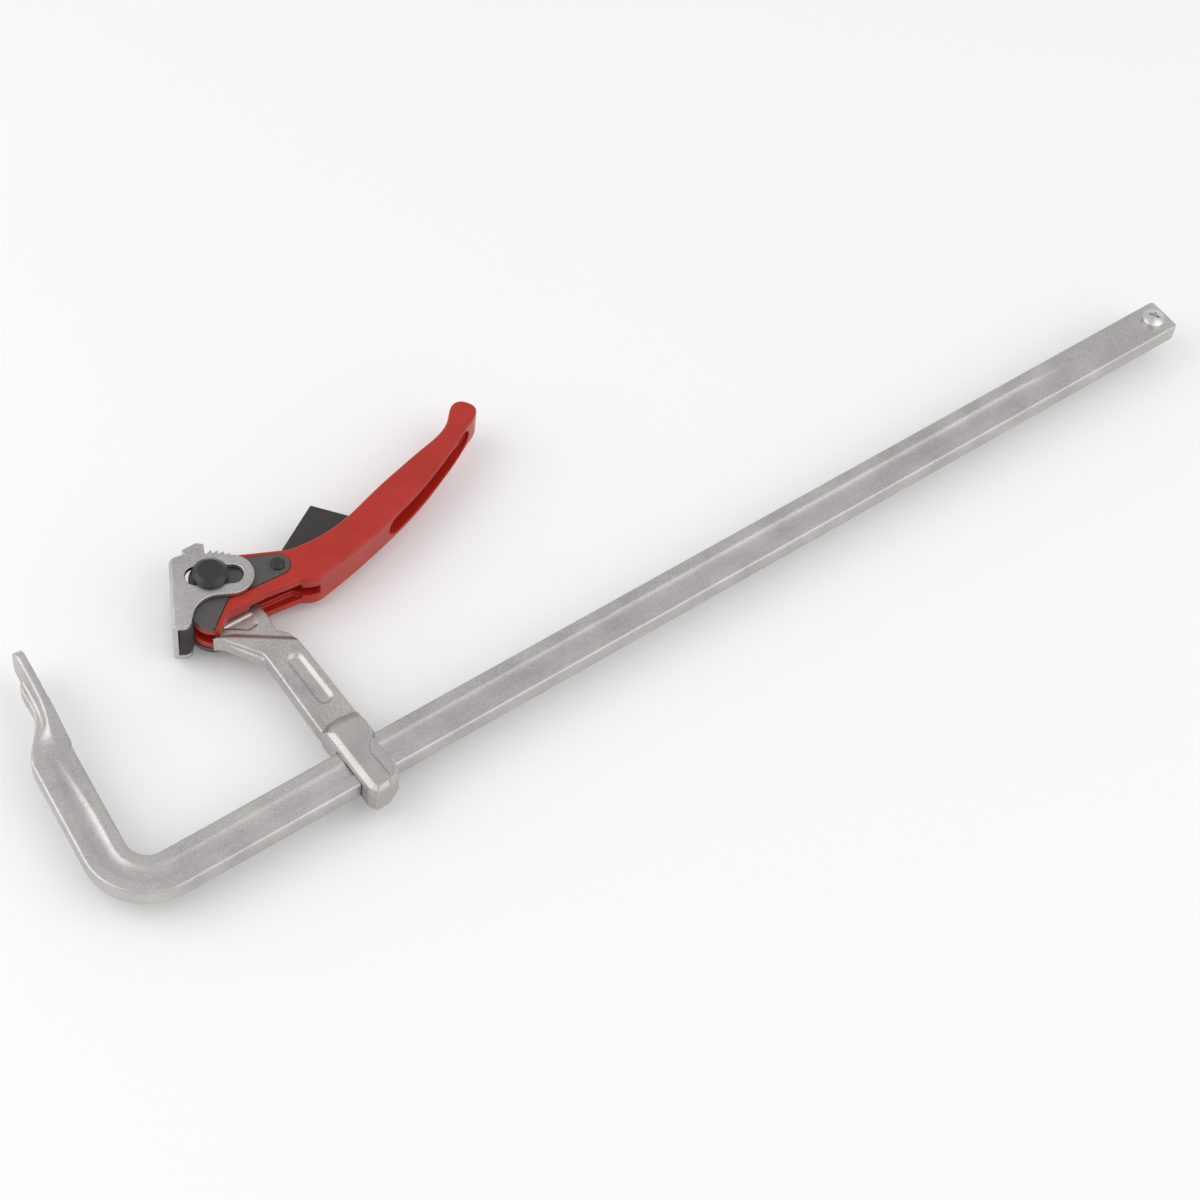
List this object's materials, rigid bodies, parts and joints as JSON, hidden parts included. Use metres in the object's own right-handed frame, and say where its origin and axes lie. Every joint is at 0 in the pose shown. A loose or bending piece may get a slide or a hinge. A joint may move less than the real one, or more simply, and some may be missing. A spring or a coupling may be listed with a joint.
{
  "type": "ratchet lever bar clamp",
  "caption": "Sliding-arm bar clamp: bent steel rail with a forged fixed jaw, a sliding arm, and a ratchet lever whose cams push a swivelling pressure jaw.",
  "frame": {"origin": "centre of the fixed jaw's clamping face, in the middle plane of the clamp", "axes": "+X along the rail towards its free end, +Y from the rail towards the jaws, +Z across the clamp's thickness, up when the clamp lies flat"},
  "size_m": [0.6879, 0.1825, 0.037],
  "materials": {
    "forged_steel": "satin grey zinc plating over a forged and drawn surface",
    "plated_steel": "satin grey zinc plating on pressed steel",
    "red_paint": "red powder coat on a die casting",
    "dark_steel": "hardened steel, phosphated dark grey",
    "black_steel": "blackened steel, slight sheen",
    "spring_steel": "bright spring wire"
  },
  "bodies": {
    "rail": {"rail_with_fixed_jaw": "forged_steel", "end_stop_screw": "plated_steel"},
    "arm": {"sliding_arm": "forged_steel"},
    "lever": {"lever": "red_paint", "cam_plate_front": "dark_steel", "cam_plate_rear": "dark_steel", "pawl_rivet": "black_steel", "pawl_spring": "spring_steel"},
    "pawl": {"pawl_with_trigger": "black_steel"},
    "pin": {"pivot_pin": "black_steel"},
    "jaw": {"pressure_jaw": "plated_steel"}
  },
  "joints": [
    {"name": "arm_slide", "type": "slide", "parent": "rail", "child": "arm", "axis": [1, 0, 0], "range_m": [-0.06, 0.518]},
    {"name": "lever_pivot", "type": "hinge", "parent": "arm", "child": "lever", "pos_m": [0.1027, 0.008, 0], "axis": [0, 0, 1], "range_deg": [-33, 18]},
    {"name": "pawl_release", "type": "hinge", "parent": "lever", "child": "pawl", "pos_m": [0.136, -0.0029, 0], "axis": [0, 0, 1], "range_deg": [-14, 0], "stiffness_Nm_per_rad": 0.5, "springref_deg": 20.05, "deforming": ["pawl_spring"]},
    {"name": "jaw_swivel", "type": "hinge", "parent": "arm", "child": "pin", "pos_m": [0.1027, 0.008, 0], "axis": [0, 0, 1], "range_deg": [-15.87, 29.05]},
    {"name": "jaw_push", "type": "slide", "parent": "pin", "child": "jaw", "axis": [-0.8746, 0.4848, 0], "range_m": [-0.00596, 0.01092]}
  ],
  "couplings": [
    {"joint": "jaw_swivel", "follows": "lever_pivot", "ratio": -0.87879},
    {"joint": "jaw_push", "follows": "lever_pivot", "m_per_rad": -0.018925}
  ]
}
